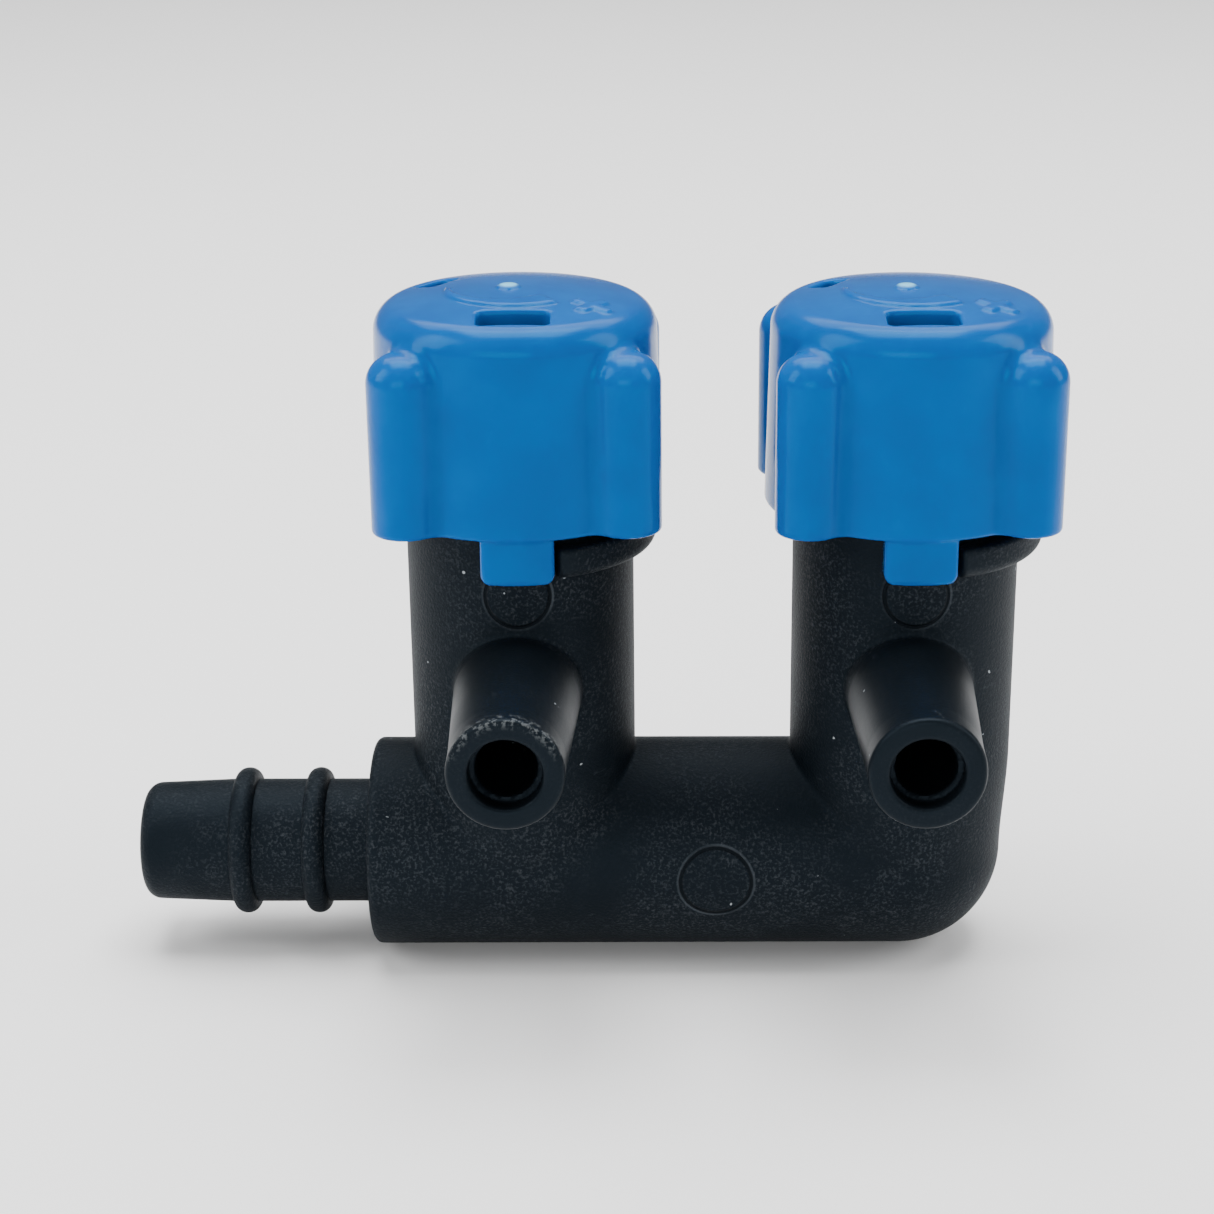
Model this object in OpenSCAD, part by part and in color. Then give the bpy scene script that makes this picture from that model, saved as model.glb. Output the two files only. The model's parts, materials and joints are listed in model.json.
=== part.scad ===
// Two-outlet drip emitter: a moulded header with two upright valve posts,
// each closed by a snap-on lobed knob that turns a hollow plug.
// Origin: on the inlet's axis, midway between its two grip rings.
// +X runs along the header away from the inlet, +Z up the posts,
// and the outlets point along -Y.

/* [Header] */
// Outer radius of the horizontal header
header_r = 3.9; // [3.7:0.05:4.0]
// Distance from the grip rings' midpoint to the header's open end face
header_start = 3.5; // [3.2:0.1:4.0]
// Radius of the flow bore along the header
header_bore_r = 2.5; // [2.4:0.05:2.55]

/* [Posts] */
// Distance from the header's end face to the first post's axis
first_post_offset = 5.7; // [5.2:0.1:6.2]
// Distance between the two posts' axes
post_pitch = 14; // [14:0.5:18]
// Outer radius of a post
post_r = 4.1; // [4.05:0.01:4.12]
// Height of a post's shoulder above the header's axis
shoulder_z = 14.2; // [13.8:0.1:14.6]
// Radius of the neck that carries the knob
neck_r = 3.2; // [3.15:0.01:3.25]
// Height of the neck's top
neck_top_z = 19.55; // [19.4:0.05:19.6]
// Radius of the snap bead round the neck
bead_r = 3.75; // [3.65:0.01:3.8]
// Radius of the bore that the valve plug turns in
valve_bore_r = 2.4; // [2.35:0.01:2.45]

/* [Outlets] */
// Height of the outlet axes above the header's axis
outlet_z = 7.5; // [7:0.1:8]
// Distance from a post's axis to its outlet's tip
outlet_reach = 11.1; // [10:0.1:12]
// Outside radius at an outlet's tip, which fits a 4 mm micro tube
outlet_tip_r = 2.0; // [1.9:0.05:2.1]
// Outside radius of an outlet where it leaves the post
outlet_base_r = 2.3; // [2.2:0.05:2.4]
// Radius of an outlet's bore
outlet_bore_r = 1.05; // [0.9:0.05:1.2]

/* [Inlet] */
// Radius of the inlet nipple between its grip rings
inlet_r = 2.32; // [2.2:0.02:2.4]
// Radius of the nipple where its nose begins to round
inlet_nose_r = 2.2; // [2:0.05:2.25]
// Radius of the grip rings' crests
ring_r = 2.75; // [2.65:0.05:2.8]
// Distance between the two grip rings
ring_pitch = 2.7; // [2.5:0.1:3]
// Distance from the grip rings' midpoint to the nipple's tip
inlet_reach = 5.15; // [4.8:0.05:5.4]
// Radius of the inlet's bore
inlet_bore_r = 1.4; // [1.2:0.05:1.5]

/* [Knobs] */
// Radius of a knob between its grip lobes, at its rim
knob_r = 5.15; // [5.1:0.05:5.3]
// Radius of a knob at its top, less than at the rim by the mould draft
knob_top_r = 5.0; // [4.9:0.05:5.1]
// Radius at the crests of the grip lobes
lobe_crest_r = 6.55; // [6.3:0.05:6.7]
// Height of a knob's rim above the header's axis
rim_z = 13.58; // [13.55:0.01:13.65]
// Height of a knob's crown above the header's axis
crown_z = 21.35; // [21.2:0.05:21.8]
// Angle of each pointer tab from the front at rest, towards +X
knob_rest_turn = 2; // [0:0.5:2]
// Height of the pointer tab's lower end above the header's axis
tab_bottom_z = 11.95; // [11.8:0.05:12.2]
// Half the width of the pointer tab
tab_half_w = 1.28; // [1.1:0.02:1.3]

/* [Hidden] */
$fn = 96;
bore_end = 0.5;
posts_x = [header_start + first_post_offset, header_start + first_post_offset + post_pitch];
left_x = posts_x[0];
right_x = posts_x[1];

// Header and posts
end_fillet = 0.3;
post_end_steps = 12;
flange_r = 4.94;
flange_bottom_z = 12.0;
flange_top_z = 13.15;
flange_start = 19.5;
flange_end = 162;
flange_corner = 0.55;
ejector_mark_depth = 0.04;
header_mark_r = 1.3;
header_mark_x = header_start + first_post_offset + post_pitch / 2 + 0.1;
post_mark_r = 1.13;
post_mark_z = 11.25;
post_mark_shift = 0.1;
header_bore_end = right_x + 1;
bead_bottom_z = 17.4;
bead_top_z = 18.3;

// Outlets
outlet_root = 3.2;
outlet_land = 1.2;
counterbore_r = 1.25;
counterbore_depth = 0.7;

// Inlet barb
ring_land = 0.3;
ring_half_w = 0.42;
nose_round = 0.55;
insert_gap = 0.01;
insert_end_x = header_start + 2.6;

// Knobs
skirt_r = 4.35;
cavity_top_z = 19.85;
edge_round = 0.8;
dome_edge_z = crown_z - 0.4;
gate_r = 0.42;
gate_shift = -0.22;
gate_h = 0.15;
mark_h = 0.12;
plus_angle = 54;
plus_centre_r = 3.35;
plus_length = 1.5;
plus_width = 0.42;
lobe_r = 1.2;
lobe_centre_r = lobe_crest_r - lobe_r;
lobe_foot_z = rim_z + 0.1;
lobe_top_z = 19.9;
lobe_round = 1.0;
lobe_angles = [46, 132, 228, 314];
// Each slot's turn, inner radius, outer radius and half width
slots = [[0, 2.65, 3.95, 1.25], [235, 3.0, 3.9, 0.75]];
catch_angles = [0, 120, 240];
catch_in_r = 3.45;
catch_bottom_z = 16.1;
catch_top_z = 17.2;
catch_half_w = 1.2;
tab_in_r = 4.25;
tab_out_r = 5.0;
socket_half_l = 1.55;
socket_half_w = 0.8;
socket_top_z = 20.65;
wedge_from = -100;
wedge_to = 38;
wedge_steps = 12;
wedge_out_r = 2.45;
wedge_thin = 0.12;
wedge_wide = 1.0;

// Valve plugs and their rings
plug_r = 2.34;
plug_bottom_z = 4.3;
plug_top_z = 19.3;
plug_hollow_r = 0.9;
plug_hollow_top_z = 8.6;
key_half_l = 1.45;
key_half_w = 0.7;
key_top_z = 20.5;
seal_cord_r = 0.45;
seal_r = 1.93;
groove_r = 1.46;
groove_half_h = 0.5;
lower_seal_z = 5.2;
upper_seal_z = 10.6;
port_r = 1.0;
metering_r = 1.95;
metering_half_h = 0.45;
metering_sweep = 150;
relief_r = 1.7;
relief_bottom_z = 11.6;
relief_top_z = 18.4;

// A pie slice of height h between two angles, measured from the front (-Y) towards +X
module sector(radius, from, to, h) {
    steps = max(2, ceil((to - from) / 30));
    reach = radius * 1.6;
    linear_extrude(height = h)
        polygon(concat([[0, 0]], [for (i = [0:steps])
            let (turn = from + (to - from) * i / steps - 90)
            [reach * cos(turn), reach * sin(turn)]]));
}

// Turns a shape made on the front (-Y) side to an angle towards +X
module at_turn(angle) {
    rotate([0, 0, angle]) children();
}

module on_post(x) {
    translate([x, 0, 0]) children();
}

// The neck with its snap bead, as a half profile
module neck() {
    rotate_extrude()
        polygon([
            [0, shoulder_z - 1],
            [neck_r, shoulder_z - 1],
            [neck_r, bead_bottom_z],
            [bead_r, bead_bottom_z + 0.15],
            [bead_r, bead_bottom_z + 0.35],
            [neck_r, bead_top_z],
            [neck_r, neck_top_z - 0.2],
            [neck_r - 0.2, neck_top_z],
            [0, neck_top_z]]);
}

// The stop flange: a part ring whose lower corner is rounded
module stop_flange() {
    intersection() {
        rotate_extrude()
            difference() {
                translate([post_r - 0.5, flange_bottom_z])
                    square([flange_r - post_r + 0.5, flange_top_z - flange_bottom_z]);
                difference() {
                    translate([flange_r - flange_corner, flange_bottom_z - 1])
                        square([flange_corner + 1, flange_corner + 1]);
                    translate([flange_r - flange_corner, flange_bottom_z + flange_corner])
                        circle(r = flange_corner);
                }
            }
        translate([0, 0, flange_bottom_z - 1])
            sector(flange_r, flange_start, flange_end, flange_top_z - flange_bottom_z + 2);
    }
}

module outlet_spigot() {
    translate([0, 0, outlet_z]) rotate([90, 0, 0]) rotate_extrude()
        polygon([
            [0, 0],
            [outlet_base_r, 0],
            [outlet_base_r, outlet_root],
            [outlet_tip_r, outlet_reach - outlet_land],
            [outlet_tip_r, outlet_reach - 0.15],
            [outlet_tip_r - 0.15, outlet_reach],
            [0, outlet_reach]]);
}

module outlet_bore() {
    translate([0, 0, outlet_z]) rotate([90, 0, 0]) {
        cylinder(r = outlet_bore_r, h = outlet_reach + bore_end);
        translate([0, 0, outlet_reach - counterbore_depth])
            cylinder(r = counterbore_r, h = counterbore_depth + bore_end);
    }
}

// A post, with its lower end rounded to meet the header's underside
module post() {
    rotate_extrude()
        polygon(concat(
            [for (i = [0:post_end_steps])
                let (turn = 90 * i / post_end_steps)
                [post_r * sin(turn), -header_r * cos(turn)]],
            [[post_r, shoulder_z], [0, shoulder_z]]));
    neck();
    stop_flange();
    outlet_spigot();
}

module header() {
    rotate([0, 90, 0]) rotate_extrude()
        polygon(concat([[0, header_start], [header_r - end_fillet, header_start]],
            [for (turn = [-75:15:0])
                [header_r - end_fillet + end_fillet * cos(turn),
                 header_start + end_fillet + end_fillet * sin(turn)]],
            [[header_r, right_x], [0, right_x]]));
}

module ejector_mark(radius, depth_y) {
    translate([0, -depth_y, 0]) rotate([90, 0, 0])
        cylinder(r = radius, h = 1);
}

module manifold_body() {
    color([0.07, 0.09, 0.11]) difference() {
        union() {
            header();
            for (x = posts_x) on_post(x) post();
        }
        rotate([0, 90, 0]) translate([0, 0, header_start - bore_end])
            cylinder(r = header_bore_r, h = header_bore_end - header_start + bore_end);
        for (x = posts_x)
            on_post(x) {
                cylinder(r = valve_bore_r, h = neck_top_z + bore_end);
                outlet_bore();
                translate([post_mark_shift, 0, post_mark_z])
                    ejector_mark(post_mark_r, post_r - ejector_mark_depth);
            }
        translate([header_mark_x, 0, 0])
            ejector_mark(header_mark_r, header_r - ejector_mark_depth);
    }
}

// One grip ring: a half-round with a narrow cylindrical crest
function ring_profile(z) = [
    [inlet_r, z - ring_half_w],
    [inlet_r + 0.22, z - ring_half_w + 0.05],
    [ring_r, z - ring_land / 2],
    [ring_r, z + ring_land / 2],
    [inlet_r + 0.22, z + ring_half_w - 0.05],
    [inlet_r, z + ring_half_w]];

module inlet_barb() {
    nose_z = inlet_reach - nose_round;
    color([0.07, 0.09, 0.11]) rotate([0, -90, 0]) difference() {
        rotate_extrude() polygon(concat(
            [[0, -insert_end_x],
             [header_bore_r - 0.3, -insert_end_x],
             [header_bore_r - insert_gap, -insert_end_x + 0.3],
             [header_bore_r - insert_gap, -header_start],
             [inlet_r, -header_start]],
            ring_profile(-ring_pitch / 2),
            ring_profile(ring_pitch / 2),
            [for (turn = [0:15:90])
                [inlet_nose_r - nose_round + nose_round * cos(turn),
                 nose_z + nose_round * sin(turn)]],
            [[0, inlet_reach]]));
        translate([0, 0, -insert_end_x - bore_end])
            cylinder(r = inlet_bore_r, h = inlet_reach + insert_end_x + 2 * bore_end);
    }
}

// The knob's round core: drafted wall, rounded shoulder and a low dome
module knob_core() {
    rotate_extrude()
        polygon(concat(
            [[0, rim_z], [knob_r, rim_z]],
            [for (turn = [0:15:75])
                [knob_top_r - edge_round + edge_round * cos(turn),
                 dome_edge_z - edge_round * (1 - sin(turn))]],
            [for (i = [0:4])
                let (reach = (knob_top_r - edge_round) * (1 - i / 5))
                [reach, dome_edge_z + (crown_z - dome_edge_z)
                    * (1 - pow(reach / (knob_top_r - edge_round), 2))]],
            [[0, crown_z]]));
}

// One grip lobe: a rounded upright rib, its foot just above the rim
module grip_lobe() {
    translate([0, -lobe_centre_r, 0]) rotate_extrude()
        polygon(concat(
            [[0, lobe_foot_z], [lobe_r, lobe_foot_z]],
            [for (turn = [0:15:90])
                [lobe_r - lobe_round + lobe_round * cos(turn),
                 lobe_top_z - lobe_round + lobe_round * sin(turn)]],
            [[0, lobe_top_z]]));
}

module pointer_tab() {
    intersection() {
        difference() {
            translate([0, 0, tab_bottom_z]) cylinder(r = tab_out_r, h = rim_z - tab_bottom_z + 1);
            translate([0, 0, tab_bottom_z - 1]) cylinder(r = tab_in_r, h = rim_z - tab_bottom_z + 3);
        }
        translate([-tab_half_w, -2 * tab_out_r, tab_bottom_z - 1])
            cube([2 * tab_half_w, 2 * tab_out_r, 6]);
    }
}

// A snap catch on the skirt's inner wall, sloped underneath to ride over the bead
module snap_catch() {
    intersection() {
        rotate_extrude()
            polygon([
                [skirt_r + 0.3, catch_bottom_z - 0.6],
                [skirt_r, catch_bottom_z - 0.6],
                [catch_in_r, catch_bottom_z + 0.5],
                [catch_in_r, catch_top_z],
                [skirt_r + 0.3, catch_top_z]]);
        translate([-catch_half_w, -2 * knob_r, catch_bottom_z - 1])
            cube([2 * catch_half_w, 2 * knob_r, 3]);
    }
}

// Raises a flat outline by mark_h above the domed top
module raised_mark() {
    intersection() {
        translate([0, 0, mark_h]) knob_core();
        translate([0, 0, dome_edge_z - 0.5]) linear_extrude(height = 2) children();
    }
}

// The flow scale: a crescent that widens towards the open position
module flow_wedge() {
    function turn_at(i) = wedge_from + (wedge_to - wedge_from) * i / wedge_steps - 90;
    function inner_at(i) = wedge_out_r - wedge_thin - (wedge_wide - wedge_thin) * i / wedge_steps;
    polygon(concat(
        [for (i = [0:wedge_steps]) wedge_out_r * [cos(turn_at(i)), sin(turn_at(i))]],
        [for (i = [wedge_steps:-1:0]) inner_at(i) * [cos(turn_at(i)), sin(turn_at(i))]]));
}

module plus_mark() {
    rotate(plus_angle) translate([0, -plus_centre_r]) {
        square([plus_length, plus_width], center = true);
        square([plus_width, plus_length], center = true);
    }
}

module knob() {
    color([0.0, 0.48, 0.76]) at_turn(knob_rest_turn) {
        difference() {
            union() {
                knob_core();
                for (angle = lobe_angles) at_turn(angle) grip_lobe();
                raised_mark() flow_wedge();
                raised_mark() plus_mark();
                translate([gate_shift, 0, crown_z - 0.5]) cylinder(r = gate_r, h = gate_h + 0.5);
            }
            translate([0, 0, rim_z - bore_end])
                cylinder(r = skirt_r, h = cavity_top_z - rim_z + bore_end);
            for (slot = slots) at_turn(slot[0])
                translate([-slot[3], -slot[2], cavity_top_z - 1])
                    cube([2 * slot[3], slot[2] - slot[1], 4]);
            translate([-socket_half_l, -socket_half_w, cavity_top_z - 1])
                cube([2 * socket_half_l, 2 * socket_half_w, socket_top_z - cavity_top_z + 1]);
        }
        for (angle = catch_angles) at_turn(angle) snap_catch();
        pointer_tab();
    }
}

module seal_groove(z) {
    translate([0, 0, z - groove_half_h]) difference() {
        cylinder(r = plug_r + 1, h = 2 * groove_half_h);
        translate([0, 0, -1]) cylinder(r = groove_r, h = 2 * groove_half_h + 2);
    }
}

// The shallow groove that meters the flow as the plug turns away from the outlet
module metering_groove() {
    translate([0, 0, outlet_z]) intersection() {
        translate([0, 0, -metering_half_h]) difference() {
            cylinder(r = plug_r + 1, h = 2 * metering_half_h);
            translate([0, 0, -1]) cylinder(r = metering_r, h = 2 * metering_half_h + 2);
        }
        translate([0, 0, -1]) sector(plug_r, 0, metering_sweep, 2);
    }
}

module valve_plug() {
    color([0.85, 0.86, 0.84]) at_turn(knob_rest_turn) {
        difference() {
            translate([0, 0, plug_bottom_z]) cylinder(r = plug_r, h = plug_top_z - plug_bottom_z);
            translate([0, 0, plug_bottom_z - bore_end])
                cylinder(r = plug_hollow_r, h = plug_hollow_top_z - plug_bottom_z + bore_end);
            translate([0, 0, outlet_z]) rotate([90, 0, 0])
                cylinder(r = port_r, h = plug_r + bore_end);
            metering_groove();
            seal_groove(lower_seal_z);
            seal_groove(upper_seal_z);
            translate([0, 0, relief_bottom_z]) difference() {
                cylinder(r = plug_r + 1, h = relief_top_z - relief_bottom_z);
                translate([0, 0, -1]) cylinder(r = relief_r, h = relief_top_z - relief_bottom_z + 2);
            }
        }
        translate([-key_half_l, -key_half_w, plug_top_z - 0.5])
            cube([2 * key_half_l, 2 * key_half_w, key_top_z - plug_top_z + 0.5]);
    }
}

module seal_ring(z) {
    color([0.16, 0.15, 0.15]) translate([0, 0, z])
        rotate_extrude() translate([seal_r, 0]) circle(r = seal_cord_r);
}

module left_knob() { on_post(left_x) knob(); }
module right_knob() { on_post(right_x) knob(); }
module left_valve_plug() { on_post(left_x) valve_plug(); }
module right_valve_plug() { on_post(right_x) valve_plug(); }
module left_upper_seal() { on_post(left_x) seal_ring(upper_seal_z); }
module right_upper_seal() { on_post(right_x) seal_ring(upper_seal_z); }
module left_lower_seal() { on_post(left_x) seal_ring(lower_seal_z); }
module right_lower_seal() { on_post(right_x) seal_ring(lower_seal_z); }

manifold_body();
inlet_barb();
left_knob();
right_knob();
left_valve_plug();
right_valve_plug();
left_upper_seal();
right_upper_seal();
left_lower_seal();
right_lower_seal();
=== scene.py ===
"""Looks for the two-outlet drip emitter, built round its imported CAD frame. Lengths are in metres,
except in the knob's, body's and barb's shapes, which are in millimetres until MM scales them."""

import json
import math

import bpy
import numpy as np
from mathutils import Matrix, Vector


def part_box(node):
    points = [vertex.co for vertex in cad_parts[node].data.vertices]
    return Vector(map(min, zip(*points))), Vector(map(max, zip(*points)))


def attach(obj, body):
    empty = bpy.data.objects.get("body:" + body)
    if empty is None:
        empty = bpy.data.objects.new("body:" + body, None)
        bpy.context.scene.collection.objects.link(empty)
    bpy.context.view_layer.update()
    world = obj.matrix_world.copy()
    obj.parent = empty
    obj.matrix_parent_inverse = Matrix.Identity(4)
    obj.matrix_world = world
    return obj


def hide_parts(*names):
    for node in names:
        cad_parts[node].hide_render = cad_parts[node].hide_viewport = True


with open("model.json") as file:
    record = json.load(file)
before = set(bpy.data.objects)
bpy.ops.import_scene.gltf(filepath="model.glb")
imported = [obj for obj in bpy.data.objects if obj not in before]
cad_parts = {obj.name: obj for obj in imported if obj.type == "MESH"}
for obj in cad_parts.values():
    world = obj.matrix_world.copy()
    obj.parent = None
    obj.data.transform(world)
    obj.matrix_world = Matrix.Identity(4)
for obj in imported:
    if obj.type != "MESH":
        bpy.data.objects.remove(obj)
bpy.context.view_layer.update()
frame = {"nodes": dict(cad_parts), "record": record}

MM = 0.001
MOUNTS = {m["name"]: m for m in frame["record"]["mounts"]}
LEFT_X, RIGHT_X = (MOUNTS[name]["pos_m"][0] for name in ("left_outlet", "right_outlet"))
OUTLET_Z = MOUNTS["left_outlet"]["pos_m"][2]
OUTLET_TIP_R = MOUNTS["left_outlet"]["dims"]["r_mm"] * MM
HEADER_R = -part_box("manifold_body")[0].z
CROWN_Z = 21.35
GATE_SHIFT = -0.22


# ---------------------------------------------------------------- node material helpers

class Nodes:
    """A short way to write a material's node tree."""

    def __init__(self, name):
        self.material = bpy.data.materials.new(name)
        self.material.use_nodes = True
        self.tree = self.material.node_tree
        self.tree.nodes.clear()
        self.output = self.tree.nodes.new("ShaderNodeOutputMaterial")
        self.shader = self.add("ShaderNodeBsdfPrincipled")
        self.link(self.shader.outputs["BSDF"], self.output.inputs["Surface"])
        self.position = self.add("ShaderNodeTexCoord").outputs["Object"]

    def add(self, kind, inputs=None, **settings):
        node = self.tree.nodes.new(kind)
        for key, value in settings.items():
            setattr(node, key, value)
        for key, value in (inputs or {}).items():
            self.put(node.inputs[key], value)
        return node

    def link(self, source, target):
        self.tree.links.new(source, target)

    def put(self, socket, value):
        if isinstance(value, bpy.types.NodeSocket):
            self.link(value, socket)
        else:
            socket.default_value = value

    def math(self, operation, a, b=0.0, clamp=False):
        node = self.add("ShaderNodeMath", {0: a, 1: b}, operation=operation)
        node.use_clamp = clamp
        return node.outputs[0]

    def noise(self, size, detail=2.0, roughness=0.5, stretch=None):
        """Noise whose features are about size metres across; stretch scales the axes."""
        position = self.position
        if stretch:
            position = self.add("ShaderNodeVectorMath", {0: position, 1: stretch},
                                operation="MULTIPLY").outputs[0]
        node = self.add("ShaderNodeTexNoise", {"Vector": position, "Scale": 1.0 / size,
                                               "Detail": detail, "Roughness": roughness})
        return node.outputs["Fac"]

    def ramp(self, value, low, high, start=0.0, end=1.0):
        """value mapped smoothly from the range low..high to start..end."""
        node = self.add("ShaderNodeMapRange", {0: value, 1: low, 2: high, 3: start, 4: end},
                        interpolation_type="SMOOTHSTEP")
        return node.outputs[0]

    def mix(self, factor, a, b):
        node = self.add("ShaderNodeMix", data_type="RGBA")
        for socket, value in zip((node.inputs[0], node.inputs[6], node.inputs[7]), (factor, a, b)):
            self.put(socket, value)
        return node.outputs[2]

    def axes(self):
        node = self.add("ShaderNodeSeparateXYZ", {0: self.position})
        return node.outputs[0], node.outputs[1], node.outputs[2]

    def bump(self, height, depth, strength=1.0, normal=None):
        """A bump of depth metres for a height from 0 to 1."""
        node = self.add("ShaderNodeBump", {"Strength": strength, "Distance": depth,
                                           "Height": height})
        if normal:
            self.link(normal, node.inputs["Normal"])
        return node.outputs[0]


# ---------------------------------------------------------------- materials

def black_plastic(name):
    """Black moulding: spark-eroded grain, smooth glossy outlets, dust specks, scuffs, wear and a
    painted highlight round each ejector ring.
    """
    m = Nodes(name)
    x, y, z = m.axes()
    smooth = m.math("MULTIPLY", m.ramp(y, -0.0041, -0.0046), 0.85)
    grain = m.noise(0.00011, 3.0, 0.62)
    patches = m.noise(0.0035, 2.0, 0.55)
    fine = m.noise(0.00004, 2.0, 0.6)
    dust_seed = m.noise(0.00055, 2.0, 0.55)
    dust = m.ramp(dust_seed, 0.76, 0.78)
    scuff_seed = m.noise(0.0011, 4.0, 0.7, stretch=(1.0, 0.6, 2.6))
    scuff = m.math("MULTIPLY", m.ramp(scuff_seed, 0.66, 0.78), 0.35)
    pits = m.ramp(grain, 0.46, 0.74)
    bright = m.math("MULTIPLY", m.math("MULTIPLY", pits, m.ramp(patches, 0.30, 0.62)), 0.75)
    bright = m.math("MULTIPLY", bright, m.math("SUBTRACT", 1.0, smooth))
    base = m.mix(patches, (0.0020, 0.0033, 0.0048, 1), (0.0040, 0.0060, 0.0082, 1))
    base = m.mix(bright, base, (0.034, 0.038, 0.043, 1))
    base = m.mix(scuff, base, (0.07, 0.08, 0.09, 1))
    rings = witness_rings(m, x, y, z, 0.0)
    # A thin lighter circle just outside each ejector ring, in patches: a painted highlight on the
    # ring's edge.
    ring_highlight = m.math("MULTIPLY", witness_rings(m, x, y, z, 0.00009), m.ramp(patches, 0.35, 0.65))
    base = m.mix(m.math("MULTIPLY", ring_highlight, 0.5), base, (0.06, 0.07, 0.08, 1))
    base = m.mix(m.math("MULTIPLY", rings, 0.9), base, (0.0008, 0.001, 0.0014, 1))
    rim = outlet_rim_wear(m, x, y, z)
    base = m.mix(rim, base, (0.42, 0.45, 0.46, 1))
    base = m.mix(dust, base, (0.30, 0.33, 0.35, 1))
    m.put(m.shader.inputs["Base Color"], base)
    rough = m.mix(smooth, (0.56, 0.56, 0.56, 1), (0.42, 0.42, 0.42, 1))
    rough = m.math("ADD", rough, m.math("MULTIPLY", m.math("SUBTRACT", patches, 0.5), 0.18))
    rough = m.math("ADD", rough, m.math("MULTIPLY", dust, 0.3), clamp=True)
    m.put(m.shader.inputs["Roughness"], rough)
    m.put(m.shader.inputs["Specular IOR Level"], 0.1)
    m.put(m.shader.inputs["Specular Tint"], (0.55, 0.78, 1.0, 1))
    depth = m.math("MULTIPLY", grain, m.math("SUBTRACT", 1.0, m.math("MULTIPLY", smooth, 0.93)))
    normal = m.bump(depth, 0.00004, 0.8)
    normal = m.bump(fine, 0.000004, 0.5, normal)
    normal = m.bump(m.math("ADD", scuff, dust), 0.00001, 0.6, normal)
    normal = m.bump(m.math("SUBTRACT", 1.0, rings), 0.0001, 0.9, normal)
    m.put(m.shader.inputs["Normal"], normal)
    return m.material


def witness_rings(m, x, y, z, wider):
    """Thin circles left by the mould's ejector pins: on each post's front and between the posts.
    With wider above zero, a circle just outside each, used for a painted highlight on its edge.
    """
    front = m.ramp(y, -0.0030, -0.0034)
    circles = [((LEFT_X + RIGHT_X) / 2 + 0.0001, 0.00004, 0.0013),
               (LEFT_X + 0.0001, 0.01125, 0.00113), (RIGHT_X + 0.0001, 0.01125, 0.00113)]
    total = 0.0
    for centre_x, centre_z, radius in circles:
        dx = m.math("SUBTRACT", x, centre_x)
        dz = m.math("SUBTRACT", z, centre_z)
        far = m.math("SQRT", m.math("ADD", m.math("MULTIPLY", dx, dx), m.math("MULTIPLY", dz, dz)))
        off = m.math("ABSOLUTE", m.math("SUBTRACT", far, radius + wider))
        total = m.math("ADD", total, m.ramp(off, 0.00008, 0.00003))
    return m.math("MULTIPLY", total, front, clamp=True)


def outlet_rim_wear(m, x, y, z):
    """Whitened wear on the upper edge of the left outlet's mouth."""
    dx = m.math("SUBTRACT", x, LEFT_X)
    dz = m.math("SUBTRACT", z, OUTLET_Z)
    radius = m.math("SQRT", m.math("ADD", m.math("MULTIPLY", dx, dx), m.math("MULTIPLY", dz, dz)))
    ring = m.ramp(radius, 0.80 * OUTLET_TIP_R, 0.97 * OUTLET_TIP_R)
    ring = m.math("MULTIPLY", ring, m.ramp(radius, 1.5 * OUTLET_TIP_R, 1.4 * OUTLET_TIP_R))
    at_tip = m.ramp(y, -0.0104, -0.01095)
    upper = m.ramp(dz, 0.1 * OUTLET_TIP_R, 0.6 * OUTLET_TIP_R)
    broken = m.ramp(m.noise(0.00018, 3.0, 0.65), 0.48, 0.64)
    wear = m.math("MULTIPLY", m.math("MULTIPLY", ring, at_tip), m.math("MULTIPLY", upper, broken))
    return m.math("MULTIPLY", wear, 0.16)


def blue_plastic():
    """Satin-gloss blue moulding: slight translucency, faint flow clouding, hairline wear and a
    painted highlight on each gate nub.
    """
    m = Nodes("blue_knob")
    cloud = m.noise(0.0022, 3.0, 0.5)
    swirl = m.noise(0.0008, 4.0, 0.6, stretch=(1.0, 1.0, 0.5))
    base = m.mix(m.ramp(cloud, 0.3, 0.7), (0.0, 0.070, 0.275, 1), (0.0, 0.082, 0.31, 1))
    base = m.mix(m.math("MULTIPLY", m.ramp(swirl, 0.55, 0.75), 0.10), base, (0.0, 0.14, 0.50, 1))
    # Lighter blue on each gate nub: a painted highlight.
    base = m.mix(gate_highlight(m), base, (0.16, 0.50, 0.72, 1))
    m.put(m.shader.inputs["Base Color"], base)
    hair = m.noise(0.00025, 3.0, 0.65, stretch=(1.0, 1.0, 0.2))
    rough = m.math("ADD", 0.20, m.math("MULTIPLY", m.math("SUBTRACT", hair, 0.5), 0.12))
    m.put(m.shader.inputs["Roughness"], rough)
    m.put(m.shader.inputs["IOR"], 1.49)
    m.put(m.shader.inputs["Specular IOR Level"], 0.22)
    m.put(m.shader.inputs["Specular Tint"], (0.05, 0.60, 1.0, 1))
    m.put(m.shader.inputs["Subsurface Weight"], 0.35)
    m.put(m.shader.inputs["Subsurface Radius"], (0.2, 0.6, 1.0))
    m.put(m.shader.inputs["Subsurface Scale"], 0.0007)
    ripple = m.bump(m.noise(0.0035, 1.0, 0.5), 0.000005, 0.5)
    m.put(m.shader.inputs["Normal"], m.bump(hair, 0.0000006, 0.5, ripple))
    return m.material


def gate_highlight(m):
    """A painted highlight: lighter blue on the nub in the middle of each top, where the mould's
    gate broke off.
    """
    x, y, z = m.axes()
    total = 0.0
    for post_x in (LEFT_X, RIGHT_X):
        dx = m.math("SUBTRACT", x, post_x + GATE_SHIFT * MM)
        far = m.math("SQRT", m.math("ADD", m.math("MULTIPLY", dx, dx), m.math("MULTIPLY", y, y)))
        total = m.math("ADD", total, m.ramp(far, 0.00040, 0.00022))
    return m.math("MULTIPLY", total, m.ramp(z, CROWN_Z * MM, (CROWN_Z + 0.06) * MM), clamp=True)


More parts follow.
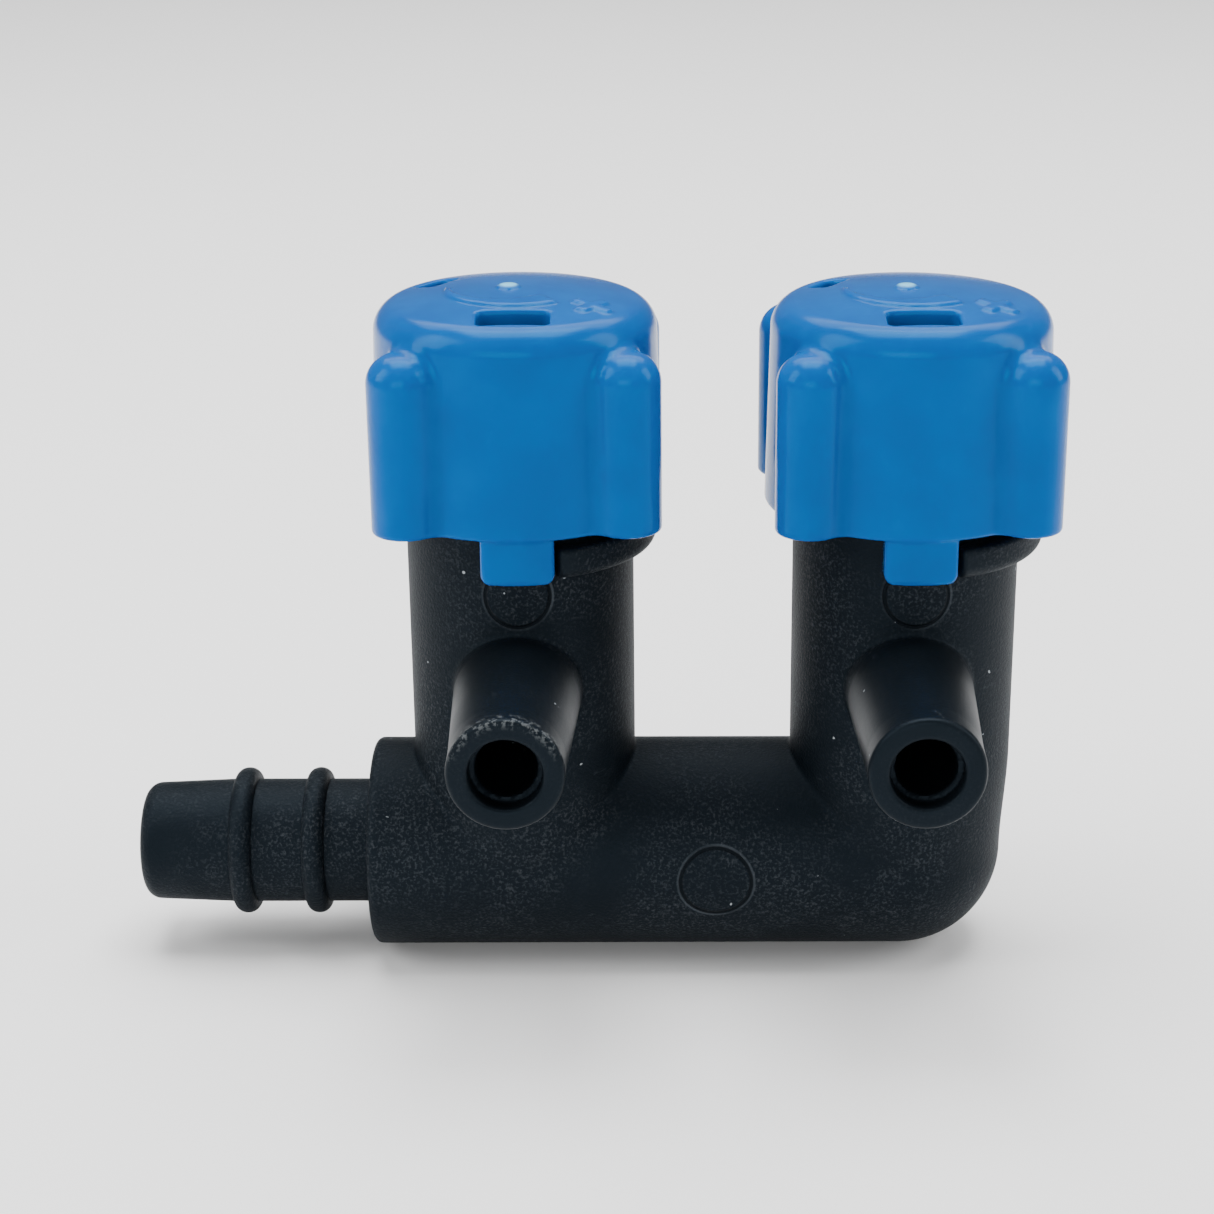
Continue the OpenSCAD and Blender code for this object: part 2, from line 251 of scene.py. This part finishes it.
def white_acetal():
    """Natural acetal of the valve plugs, turned smooth with faint rings."""
    m = Nodes("white_plug")
    cloud = m.noise(0.0015, 2.0, 0.5)
    m.put(m.shader.inputs["Base Color"], m.mix(cloud, (0.68, 0.68, 0.64, 1), (0.78, 0.78, 0.75, 1)))
    rings = m.noise(0.0003, 2.0, 0.5, stretch=(0.1, 0.1, 1.0))
    m.put(m.shader.inputs["Roughness"], m.ramp(rings, 0.3, 0.7, 0.28, 0.42))
    m.put(m.shader.inputs["Normal"], m.bump(rings, 0.000005, 0.6))
    return m.material


def seal_rubber():
    """Greased black rubber."""
    m = Nodes("seal_rubber")
    cloud = m.noise(0.0004, 3.0, 0.6)
    m.put(m.shader.inputs["Base Color"], m.mix(cloud, (0.010, 0.010, 0.011, 1),
                                                  (0.03, 0.03, 0.03, 1)))
    m.put(m.shader.inputs["Roughness"], m.ramp(cloud, 0.3, 0.7, 0.35, 0.6))
    m.put(m.shader.inputs["Normal"], m.bump(cloud, 0.000008, 0.6))
    return m.material


# ---------------------------------------------------------------- meshes from shape functions

def round_max(a, b, radius):
    """The intersection of two shapes, with its outer edge rounded."""
    outside = np.hypot(np.maximum(a + radius, 0), np.maximum(b + radius, 0))
    return np.minimum(np.maximum(a, b), -radius) + outside


def round_min(a, b, radius):
    """The union of two shapes, with its inner corner filled."""
    inside = np.hypot(np.maximum(radius - a, 0), np.maximum(radius - b, 0))
    return np.maximum(np.minimum(a, b), radius) - inside


def smooth_step(value, low, high):
    t = np.clip((value - low) / (high - low), 0, 1)
    return t * t * (3 - 2 * t)


def surface_net(shape, low, high, cell):
    """Vertices and quads of the surface where shape(x, y, z) crosses zero, in the box low..high."""
    axes = [np.arange(lo, hi + cell, cell) for lo, hi in zip(low, high)]
    value = shape(*np.meshgrid(*axes, indexing="ij"))
    size = np.array(value.shape)
    stride = np.array([size[1] * size[2], size[2], 1])
    corners, points, quads = [], [], []
    for axis in range(3):
        first = [slice(None)] * 3
        second = [slice(None)] * 3
        first[axis] = slice(0, -1)
        second[axis] = slice(1, None)
        a, b = value[tuple(first)], value[tuple(second)]
        edge = np.argwhere((a < 0) != (b < 0))
        start = a[tuple(edge.T)]
        place = edge.astype(float)
        place[:, axis] += start / (start - b[tuple(edge.T)])
        u, v = [k for k in range(3) if k != axis]
        around = []
        for du, dv in ((0, 0), (1, 0), (1, 1), (0, 1)):
            around.append(edge @ stride - du * stride[u] - dv * stride[v])
            corners.append(around[-1])
            points.append(place)
        quad = np.stack(around, axis=1)
        backward = (start < 0) != (axis == 1)
        quad[~backward] = quad[~backward][:, ::-1]
        quads.append(quad)
    corners, points, quads = map(np.concatenate, (corners, points, quads))
    ids, where = np.unique(corners, return_inverse=True)
    count = np.bincount(where)
    vertices = np.stack([np.bincount(where, points[:, k]) / count for k in range(3)], axis=1)
    vertices = vertices * cell + np.array(low)
    return settle(shape, vertices, cell), np.searchsorted(ids, quads)


def settle(shape, vertices, cell, rounds=4):
    """Moves each vertex on to the true surface along the shape's slope."""
    step = cell * 0.1
    for _ in range(rounds):
        x, y, z = vertices.T
        value = shape(x, y, z)
        slope = np.stack([shape(x + step, y, z) - shape(x - step, y, z),
                          shape(x, y + step, z) - shape(x, y - step, z),
                          shape(x, y, z + step) - shape(x, y, z - step)], axis=1) / (2 * step)
        move = value / np.maximum((slope ** 2).sum(axis=1), 0.25)
        vertices = vertices - np.clip(move, -cell / 3, cell / 3)[:, None] * slope
    return vertices


def mesh_object(name, vertices_mm, faces, material, sharp_degrees=50):
    mesh = bpy.data.meshes.new(name)
    mesh.from_pydata((vertices_mm * MM).tolist(), [], faces.tolist())
    mesh.validate()
    mesh.polygons.foreach_set("use_smooth", [True] * len(mesh.polygons))
    mesh.set_sharp_from_angle(angle=math.radians(sharp_degrees))
    mesh.materials.append(material)
    piece = bpy.data.objects.new(name, mesh)
    bpy.context.scene.collection.objects.link(piece)
    return piece


# ---------------------------------------------------------------- the knob's shape, in millimetres

KNOB_R = 5.15
KNOB_TOP_R = 5.0
SHOULDER_ROUND = 0.8
LOBE_R = 1.2
LOBE_CENTRE_R = 5.345
LOBE_TOP_Z = 19.95
LOBE_ROUND = 1.05
LOBE_ANGLES = (46, 132, 228, 314)
FLUTE_FILLET = 0.42
RIM_Z = 13.58
DOME_EDGE_Z = 20.95
DOME_RISE = CROWN_Z - DOME_EDGE_Z
DOME_R = 4.2
GATE_H = 0.15
SKIRT_R = 4.35
CAVITY_TOP_Z = 19.85
# Each slot's angle, centre radius, half width and half depth outwards
SLOTS = ((0, 3.3, 1.25, 0.6), (235, 3.45, 0.72, 0.4))
CATCH_ANGLES = (0, 120, 240)
TAB_BOTTOM_Z = 11.95
TAB_HALF_W = 1.28
TAB_RADII = (4.25, 5.0)
CATCH_IN_R = 3.45
CATCH_Z = (16.1, 17.2)
CATCH_HALF_W = 1.2
MARK_H = 0.12
WEDGE_FROM, WEDGE_TO = -100, 38
WEDGE_OUT_R = 2.45
WEDGE_THIN, WEDGE_WIDE = 0.12, 1.0
PLUS_ANGLE, PLUS_R = 54, 3.35
PLUS_HALF = (0.75, 0.21)
REST_TURN = 2.0
KNOB_CELL = 0.1


def turned(x, y, degrees):
    """Coordinates seen from an angle round the knob: across, and outward, from the front to +X."""
    angle = math.radians(degrees)
    outward = x * math.sin(angle) - y * math.cos(angle)
    across = x * math.cos(angle) + y * math.sin(angle)
    return across, outward


def rounded_box(dx, dy, half_x, half_y, radius):
    """Distance outside a flat rounded rectangle."""
    qx, qy = np.abs(dx) - half_x + radius, np.abs(dy) - half_y + radius
    outside = np.hypot(np.maximum(qx, 0), np.maximum(qy, 0))
    return outside + np.minimum(np.maximum(qx, qy), 0) - radius


def raised_marks(x, y):
    """Height of the moulded marks above the dome: the flow crescent, a plus and the gate dot."""
    radius = np.hypot(x, y)
    turn = np.degrees(np.arctan2(x, -y))
    share = np.clip((turn - WEDGE_FROM) / (WEDGE_TO - WEDGE_FROM), 0, 1)
    inner = WEDGE_OUT_R - WEDGE_THIN - (WEDGE_WIDE - WEDGE_THIN) * share
    ends = np.maximum(WEDGE_FROM - turn, turn - WEDGE_TO) * math.pi / 180 * radius
    wedge = np.maximum(np.maximum(radius - WEDGE_OUT_R, inner - radius), ends)
    across, outward = turned(x, y, PLUS_ANGLE)
    outward = outward - PLUS_R
    plus = np.minimum(rounded_box(across, outward, PLUS_HALF[0], PLUS_HALF[1], 0.08),
                      rounded_box(across, outward, PLUS_HALF[1], PLUS_HALF[0], 0.08))
    marks = MARK_H * (1 - smooth_step(np.minimum(wedge, plus), -0.07, 0.07))
    gate = np.hypot(x - GATE_SHIFT, y)
    return np.maximum(marks, GATE_H * np.sqrt(np.clip(1 - (gate / 0.44) ** 2, 0, 1)))


def knob_shape(x, y, z):
    """Negative inside the knob, with its pointer at the front."""
    radius = np.hypot(x, y)
    dome = DOME_EDGE_Z + DOME_RISE * (1 - (radius / DOME_R) ** 2) + raised_marks(x, y)
    wall = KNOB_R - (KNOB_R - KNOB_TOP_R) * (z - RIM_Z) / (LOBE_TOP_Z - RIM_Z)
    solid = round_max(radius - wall, z - dome, SHOULDER_ROUND)
    for angle in LOBE_ANGLES:
        across, outward = turned(x, y, angle)
        lobe = np.hypot(across, outward - LOBE_CENTRE_R) - LOBE_R
        lobe = round_max(lobe, z - LOBE_TOP_Z, LOBE_ROUND)
        solid = round_min(solid, lobe, FLUTE_FILLET)
    solid = round_max(solid, RIM_Z - z, 0.15)
    solid = round_max(solid, -np.maximum(radius - SKIRT_R, z - CAVITY_TOP_Z), 0.1)
    for angle, centre_r, half_w, half_r in SLOTS:
        across, outward = turned(x, y, angle)
        slot = rounded_box(across, outward - centre_r, half_w, half_r, 0.25)
        slot = np.maximum(slot, CAVITY_TOP_Z - 1 - z)
        solid = round_max(solid, -slot, 0.14)
    for angle in CATCH_ANGLES:
        across, outward = turned(x, y, angle)
        catch = np.maximum(np.abs(across) - CATCH_HALF_W, CATCH_IN_R - radius)
        catch = np.maximum(catch, np.maximum(radius - SKIRT_R - 0.4, -outward))
        slope = CATCH_Z[0] + 0.5 - (radius - CATCH_IN_R) * 1.2 - z
        catch = np.maximum(catch, np.maximum(slope * 0.64, z - CATCH_Z[1]))
        solid = np.minimum(solid, catch)
    tab = rounded_box(x, z - RIM_Z - 0.5, TAB_HALF_W, RIM_Z + 0.5 - TAB_BOTTOM_Z, 0.35)
    tab = round_max(tab, np.maximum(TAB_RADII[0] - radius, radius - TAB_RADII[1]), 0.12)
    tab = np.maximum(tab, y)
    return round_min(solid, tab, 0.08)


def build_knobs(material):
    reach = LOBE_CENTRE_R + LOBE_R + 0.3
    vertices, quads = surface_net(knob_shape, (-reach, -reach, TAB_BOTTOM_Z - 0.3),
                                  (reach, reach, DOME_EDGE_Z + DOME_RISE + 0.5), KNOB_CELL)
    angle = math.radians(REST_TURN)
    cos, sin = math.cos(angle), math.sin(angle)
    x, y = vertices[:, 0] * cos - vertices[:, 1] * sin, vertices[:, 0] * sin + vertices[:, 1] * cos
    for side, post_x in (("left", LEFT_X), ("right", RIGHT_X)):
        placed = np.stack([x + post_x / MM, y, vertices[:, 2]], axis=1)
        piece = mesh_object(f"{side}_knob_moulding", placed, quads, material)
        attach(piece, f"{side}_valve")
        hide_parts(f"{side}_knob")


# ---------------------------------------------------------------- the body's shape, in millimetres

BODY_CELL = 0.11
HEADER_FACE = 3.5
HEADER_END_FILLET = 0.3
HEADER_BORE_R = 2.5
POST_R = 4.1
POST_FOOT_R = 3.9
SHOULDER_Z = 14.2
NECK_R = 3.2
NECK_TOP_Z = 19.55
BEAD_R = 3.75
BEAD_Z = (17.4, 18.3)
VALVE_BORE_R = 2.4
FLANGE_R = 4.94
FLANGE_Z = (12.0, 13.15)
FLANGE_CORNER = 0.5
FLANGE_ANGLES = (19.5, 162)
OUTLET_ROOT = 3.2
OUTLET_REACH = 11.1
OUTLET_LAND = 1.2
OUTLET_BASE_R = 2.3
OUTLET_RIM_ROUND = 0.2
OUTLET_BORE_R = 1.05
COUNTERBORE_R = 1.25
COUNTERBORE_DEPTH = 0.7
CREASE = 0.12
FOOT_TAPER_Z = 4
POST_EDGE_ROUND = 0.2
COUNTERBORE_ROUND = 0.14
BORE_ROUND = 0.1
HEADER_BORE_ROUND = 0.08
# The corner between posts and header is crisp, but soft towards the front and gone at the bottom
FRONT_SOFTNESS = 0.6
FRONT_SOFT_FROM, FRONT_SOFT_TO = 3.1, 4.0
CREASE_FROM_Z, CREASE_TO_Z = 0.2, 2.4


def stop_flange(x, y, z, radius):
    """The part ring under a knob that its pointer tab stops against."""
    ring = round_max(radius - FLANGE_R, FLANGE_Z[0] - z, FLANGE_CORNER)
    ring = round_max(ring, z - FLANGE_Z[1], CREASE)
    ring = np.maximum(ring, POST_R - 0.5 - radius)
    start, _ = turned(x, y, FLANGE_ANGLES[0])
    end, _ = turned(x, y, FLANGE_ANGLES[1])
    return round_max(ring, np.maximum(-start, end), CREASE)


def neck_and_bead(z, radius):
    """The neck that a knob snaps over, with its bead, which slopes down outwards on top."""
    neck = round_max(radius - NECK_R, z - NECK_TOP_Z, POST_EDGE_ROUND)
    bead = np.maximum((z - BEAD_Z[1]) * 0.8 + (radius - NECK_R) * 0.6, BEAD_Z[0] - z)
    return np.minimum(neck, round_max(bead, radius - BEAD_R, CREASE))


def post_shape(x, y, z):
    """One valve post about its own axis, with its outlet spigot."""
    radius = np.hypot(x, y)
    foot_r = POST_FOOT_R + (POST_R - POST_FOOT_R) * smooth_step(z, 0, FOOT_TAPER_Z)
    low = np.minimum(z, 0) * POST_FOOT_R / (HEADER_R / MM)
    post = round_max(np.hypot(radius, low) - foot_r, z - SHOULDER_Z, POST_EDGE_ROUND)
    post = np.minimum(post, np.maximum(neck_and_bead(z, radius), SHOULDER_Z - 1 - z))
    post = round_min(post, stop_flange(x, y, z, radius), CREASE)
    along = -y
    about = np.hypot(x, z - OUTLET_Z / MM)
    tip_r = OUTLET_TIP_R / MM
    outer_r = np.interp(along, (OUTLET_ROOT, OUTLET_REACH - OUTLET_LAND), (OUTLET_BASE_R, tip_r))
    spigot = round_max(about - outer_r, along - OUTLET_REACH, OUTLET_RIM_ROUND)
    return round_min(post, np.maximum(spigot, -along), CREASE)


def bore_post(solid, x, y, z):
    """Cuts one post's outlet bore, its counterbore and its valve bore."""
    along = -y
    about = np.hypot(x, z - OUTLET_Z / MM)
    outlet = np.maximum(about - OUTLET_BORE_R, -along)
    mouth = np.maximum(about - COUNTERBORE_R, OUTLET_REACH - COUNTERBORE_DEPTH - along)
    valve = np.maximum(np.hypot(x, y) - VALVE_BORE_R, -z)
    solid = round_max(solid, -mouth, COUNTERBORE_ROUND)
    return round_max(solid, -np.minimum(outlet, valve), BORE_ROUND)


def body_shape(x, y, z):
    """Negative inside the manifold body."""
    right_x = RIGHT_X / MM
    about = np.hypot(y, z)
    solid = round_max(about - HEADER_R / MM, HEADER_FACE - x, HEADER_END_FILLET)
    solid = np.maximum(solid, x - right_x)
    soft = CREASE + FRONT_SOFTNESS * smooth_step(-y, FRONT_SOFT_FROM, FRONT_SOFT_TO)
    soft = soft * smooth_step(z, CREASE_FROM_Z, CREASE_TO_Z)
    for post_x in (LEFT_X / MM, right_x):
        solid = round_min(solid, post_shape(x - post_x, y, z), soft)
    for post_x in (LEFT_X / MM, right_x):
        solid = bore_post(solid, x - post_x, y, z)
    bore = np.maximum(about - HEADER_BORE_R, x - right_x - 1)
    return round_max(solid, -bore, HEADER_BORE_ROUND)


def build_body(material):
    low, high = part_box("manifold_body")
    margin = 0.3
    vertices, quads = surface_net(body_shape, [c / MM - margin for c in low],
                                  [c / MM + margin for c in high], BODY_CELL)
    piece = mesh_object("manifold_moulding", vertices, quads, material)
    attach(piece, "manifold")
    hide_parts("manifold_body")


# ---------------------------------------------------------------- the inlet barb, in millimetres

BARB_R = 2.32
BARB_BORE_R = 1.4
BARB_HIDDEN_R = 2.49
BARB_NOSE_R = 2.2
BARB_NOSE_ROUND = 0.55
RING_R = 2.75
RING_CENTRES = (1.35, -1.35)
RING_HALF_W = 0.42
BARB_TIP = -5.15
BARB_END = 6.1


def ring_arc(centre, steps=20):
    """Points over one half-round grip ring, from its +X side to its -X side."""
    lift = RING_R - BARB_R
    return [(centre + RING_HALF_W * math.cos(math.pi * i / steps),
             BARB_R + lift * math.sin(math.pi * i / steps) ** 0.8) for i in range(steps + 1)]


def barb_profile():
    """Closed outline of the barb's wall, as (x, radius)."""
    outer = [(BARB_END, BARB_BORE_R), (BARB_END, BARB_HIDDEN_R - 0.3),
             (BARB_END - 0.3, BARB_HIDDEN_R), (HEADER_FACE, BARB_HIDDEN_R), (HEADER_FACE, BARB_R)]
    for centre in RING_CENTRES:
        outer += ring_arc(centre)
    nose_x = BARB_TIP + BARB_NOSE_ROUND
    for i in range(11):
        turn = math.pi / 2 * i / 10
        outer.append((nose_x - BARB_NOSE_ROUND * math.sin(turn),
                      BARB_NOSE_R - BARB_NOSE_ROUND * (1 - math.cos(turn))))
    outer.append((BARB_TIP, BARB_BORE_R + 0.05))
    outer.append((BARB_TIP + 0.05, BARB_BORE_R))
    return outer


def build_barb(material, segments=144):
    profile = np.array(barb_profile())
    turns = np.linspace(0, 2 * math.pi, segments, endpoint=False)
    rings = [np.stack([profile[:, 0], profile[:, 1] * math.cos(t), profile[:, 1] * math.sin(t)],
                      axis=1) for t in turns]
    count = len(profile)
    faces = [((s * count + p), (s * count + (p + 1) % count),
              ((s + 1) % segments * count + (p + 1) % count), ((s + 1) % segments * count + p))
             for s in range(segments) for p in range(count)]
    piece = mesh_object("inlet_barb_moulding", np.concatenate(rings), np.array(faces), material, 35)
    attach(piece, "manifold")
    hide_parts("inlet_barb")


# ---------------------------------------------------------------- CAD nodes that show

def paint(material, *names):
    for name in names:
        mesh = frame["nodes"][name].data
        mesh.materials.clear()
        mesh.materials.append(material)


# ---------------------------------------------------------------- studio

CAMERA_TARGET = Vector((0.01632, 0.0, 0.00846))
CAMERA_DISTANCE = 0.0957
CAMERA_PITCH, CAMERA_YAW, CAMERA_ROLL = 0.36, 0.015, 0.004
CAMERA_LENS = 76.9
CAMERA_SHIFT = (-0.0898, 0.0193)


def build_camera():
    level = Vector((math.sin(CAMERA_YAW), math.cos(CAMERA_YAW), 0))
    forward = level * math.cos(CAMERA_PITCH) - Vector((0, 0, math.sin(CAMERA_PITCH)))
    right = Vector((math.cos(CAMERA_YAW), -math.sin(CAMERA_YAW), 0))
    up = right.cross(forward)
    cos, sin = math.cos(CAMERA_ROLL), math.sin(CAMERA_ROLL)
    right, up = right * cos + up * sin, up * cos - right * sin
    data = bpy.data.cameras.new("camera")
    data.sensor_width = 36
    data.lens = CAMERA_LENS
    data.shift_x, data.shift_y = CAMERA_SHIFT
    data.clip_start = 0.005
    camera = bpy.data.objects.new("camera", data)
    bpy.context.scene.collection.objects.link(camera)
    place = Matrix((right, up, -forward)).transposed().to_4x4()
    place.translation = CAMERA_TARGET - forward * CAMERA_DISTANCE
    camera.matrix_world = place
    bpy.context.scene.camera = camera


def area_light(name, place, aim, size, power, colour=(1, 1, 1)):
    data = bpy.data.lights.new(name, "AREA")
    data.shape = "RECTANGLE"
    data.size, data.size_y = size
    data.energy = power
    data.color = colour
    lamp = bpy.data.objects.new(name, data)
    bpy.context.scene.collection.objects.link(lamp)
    lamp.location = place
    lamp.rotation_euler = (Vector(aim) - Vector(place)).to_track_quat("-Z", "Y").to_euler()


def build_studio():
    centre = ((LEFT_X + RIGHT_X) / 2, 0.0, 0.008)
    area_light("top_softbox", (0.015, 0.03, 0.28), centre, (0.22, 0.16), 1.15)
    area_light("back_softbox", (0.015, 0.24, 0.34), (0.015, 0.24, 0.0), (0.50, 0.24), 1.5)
    area_light("front_softbox", (-0.03, -0.38, 0.12), centre, (0.30, 0.16), 0.8)
    area_light("left_softbox", (-0.20, -0.06, 0.16), centre, (0.12, 0.18), 0.5)
    area_light("right_softbox", (0.24, -0.02, 0.13), centre, (0.10, 0.18), 0.4)
    world = bpy.data.worlds.new("studio")
    world.use_nodes = True
    world.node_tree.nodes["Background"].inputs["Color"].default_value = (1, 1, 1, 1)
    world.node_tree.nodes["Background"].inputs["Strength"].default_value = 0.22
    bpy.context.scene.world = world
    build_floor()


def build_floor():
    """A plain pale floor, far wider than the view."""
    m = Nodes("studio_floor")
    tone = m.noise(0.05, 2.0, 0.5)
    m.put(m.shader.inputs["Base Color"], m.mix(tone, (0.90, 0.90, 0.90, 1), (0.93, 0.93, 0.93, 1)))
    m.put(m.shader.inputs["Roughness"], 0.8)
    reach, floor_z = 1500.0, -HEADER_R / MM
    corners = np.array([(-reach, -reach, floor_z), (reach, -reach, floor_z),
                        (reach, reach, floor_z), (-reach, reach, floor_z)])
    mesh_object("studio_floor", corners, np.array([(0, 1, 2, 3)]), m.material)


build_body(black_plastic("black_body"))
build_barb(black_plastic("black_barb"))
build_knobs(blue_plastic())
paint(white_acetal(), "left_valve_plug", "right_valve_plug")
paint(seal_rubber(), "left_upper_seal", "right_upper_seal", "left_lower_seal", "right_lower_seal")
build_camera()
build_studio()
